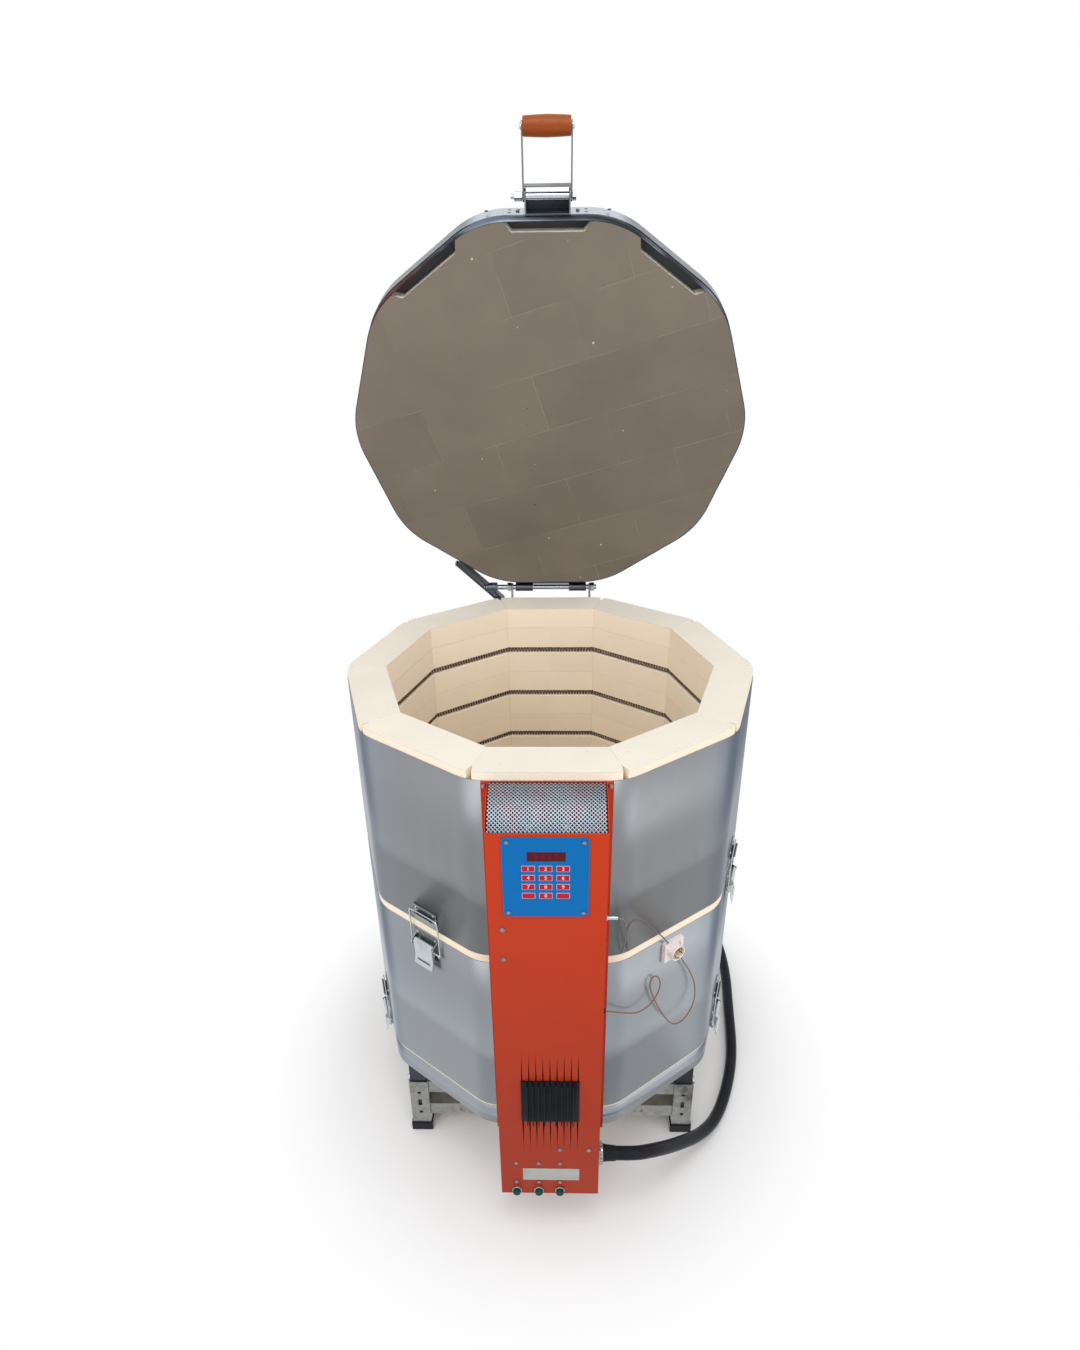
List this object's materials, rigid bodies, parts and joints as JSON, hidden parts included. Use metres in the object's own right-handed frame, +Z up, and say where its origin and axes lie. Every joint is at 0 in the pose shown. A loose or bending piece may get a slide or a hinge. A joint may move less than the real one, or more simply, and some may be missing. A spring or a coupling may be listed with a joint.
{
  "type": "ceramic kiln",
  "caption": "Ten-sided top-loading electric kiln with a hinged lid held open, an angled control box down its front, draw latches and a perforated steel stand.",
  "frame": {"origin": "on the floor, on the kiln's own upright axis, in the plane of the feet's undersides; the whole part's box is centred 5.2 mm in front of it, because the control box reaches further out than the hinge", "axes": "+Z up, -Y towards someone who faces the control box, +X to their right"},
  "size_m": [0.8589, 1.023, 1.9135],
  "materials": {
    "lead_dark": "matte",
    "box_paint": "satin",
    "bright_steel": "satin",
    "board": "matte",
    "controller_blue": "satin",
    "black_plastic": "matte",
    "display": "gloss",
    "porcelain": "gloss",
    "lead_white": "matte",
    "jacket_steel": "satin",
    "firebrick": "matte",
    "grip_wood": "satin",
    "sink_aluminium": "matte",
    "dark_steel": "satin",
    "keys": "satin",
    "latch_steel": "satin",
    "fitting_steel": "satin",
    "element_wire": "matte",
    "cord_rubber": "satin",
    "foot_rubber": "matte",
    "galvanised": "matte",
    "riser_steel": "satin",
    "lead_brown": "matte",
    "terminal_brass": "satin",
    "grille_steel": "satin"
  },
  "bodies": {
    "kiln": {"block_lead": "lead_dark", "box_backplate": "box_paint", "box_cover": "box_paint", "box_screws": "bright_steel", "controller_board": "board", "controller_plate": "controller_blue", "cord_gland": "black_plastic", "display_window": "display", "element_insulators": "porcelain", "fitting_lead": "lead_white", "floor_jacket": "jacket_steel", "floor_slab": "firebrick", "fuse_holders": "black_plastic", "heat_sink": "sink_aluminium", "hinge_bracket": "dark_steel", "hinge_rod": "bright_steel", "hinge_screws": "bright_steel", "keypad": "keys", "latch_bases": "latch_steel", "latch_keepers": "latch_steel", "lead_fittings": "fitting_steel", "lower_bricks": "firebrick", "lower_elements": "element_wire", "lower_jacket": "jacket_steel", "power_cord": "cord_rubber", "power_plug": "cord_rubber", "relays": "black_plastic", "rim_bricks": "firebrick", "stand_bolts": "bright_steel", "stand_feet": "foot_rubber", "stand_legs": "galvanised", "stand_rails": "galvanised", "stand_risers": "riser_steel", "terminal_block": "black_plastic", "thermocouple_block": "porcelain", "thermocouple_lead": "lead_brown", "thermocouple_probe": "bright_steel", "thermocouple_terminals": "terminal_brass", "upper_bricks": "firebrick", "upper_elements": "element_wire", "upper_jacket": "jacket_steel", "vent_grille": "grille_steel"},
    "lid": {"lid_brick": "firebrick", "lid_band": "jacket_steel", "lid_strap": "jacket_steel", "lid_hinge_leaf": "dark_steel", "lid_brace": "dark_steel", "handle_bracket": "bright_steel", "handle_bolt": "bright_steel"},
    "lid_handle": {"handle_bail": "bright_steel", "handle_grip": "grip_wood"},
    "left_middle_lever": {"left_middle_latch_lever": "latch_steel"},
    "left_middle_bail": {"left_middle_latch_bail": "latch_steel"},
    "right_middle_lever": {"right_middle_latch_lever": "latch_steel"},
    "right_middle_bail": {"right_middle_latch_bail": "latch_steel"},
    "left_floor_lever": {"left_floor_latch_lever": "latch_steel"},
    "left_floor_bail": {"left_floor_latch_bail": "latch_steel"},
    "right_floor_lever": {"right_floor_latch_lever": "latch_steel"},
    "right_floor_bail": {"right_floor_latch_bail": "latch_steel"}
  },
  "joints": [
    {"name": "lid_hinge", "type": "hinge", "parent": "kiln", "child": "lid", "pos_m": [0, 0.399, 1.028], "axis": [1, 0, 0], "range_deg": [0, 73]},
    {"name": "handle_swing", "type": "hinge", "parent": "lid", "child": "lid_handle", "pos_m": [0, 0.19091, 1.80199], "axis": [1, 0, 0], "range_deg": [-90, 0]},
    {"name": "left_middle_lever_turn", "type": "hinge", "parent": "kiln", "child": "left_middle_lever", "pos_m": [-0.22365, -0.30783, 0.609], "axis": [-0.809, 0.5878, 0], "range_deg": [0, 95]},
    {"name": "left_middle_bail_turn", "type": "hinge", "parent": "left_middle_lever", "child": "left_middle_bail", "pos_m": [-0.22112, -0.30435, 0.595], "axis": [-0.809, 0.5878, 0], "range_deg": [-80, 0]},
    {"name": "right_middle_lever_turn", "type": "hinge", "parent": "kiln", "child": "right_middle_lever", "pos_m": [0.36188, -0.11758, 0.609], "axis": [-0.309, -0.9511, 0], "range_deg": [0, 95]},
    {"name": "right_middle_bail_turn", "type": "hinge", "parent": "right_middle_lever", "child": "right_middle_bail", "pos_m": [0.35779, -0.11625, 0.595], "axis": [-0.309, -0.9511, 0], "range_deg": [-80, 0]},
    {"name": "left_floor_lever_turn", "type": "hinge", "parent": "kiln", "child": "left_floor_lever", "pos_m": [-0.36188, -0.11758, 0.238], "axis": [-0.309, 0.9511, 0], "range_deg": [0, 95]},
    {"name": "left_floor_bail_turn", "type": "hinge", "parent": "left_floor_lever", "child": "left_floor_bail", "pos_m": [-0.35779, -0.11625, 0.224], "axis": [-0.309, 0.9511, 0], "range_deg": [-80, 0]},
    {"name": "right_floor_lever_turn", "type": "hinge", "parent": "kiln", "child": "right_floor_lever", "pos_m": [0.36188, -0.11758, 0.238], "axis": [-0.309, -0.9511, 0], "range_deg": [0, 95]},
    {"name": "right_floor_bail_turn", "type": "hinge", "parent": "right_floor_lever", "child": "right_floor_bail", "pos_m": [0.35779, -0.11625, 0.224], "axis": [-0.309, -0.9511, 0], "range_deg": [-80, 0]}
  ],
  "couplings": [
    {"joint": "left_middle_bail_turn", "follows": "left_middle_lever_turn", "ratio": -0.84},
    {"joint": "right_middle_bail_turn", "follows": "right_middle_lever_turn", "ratio": -0.84},
    {"joint": "left_floor_bail_turn", "follows": "left_floor_lever_turn", "ratio": -0.84},
    {"joint": "right_floor_bail_turn", "follows": "right_floor_lever_turn", "ratio": -0.84}
  ]
}
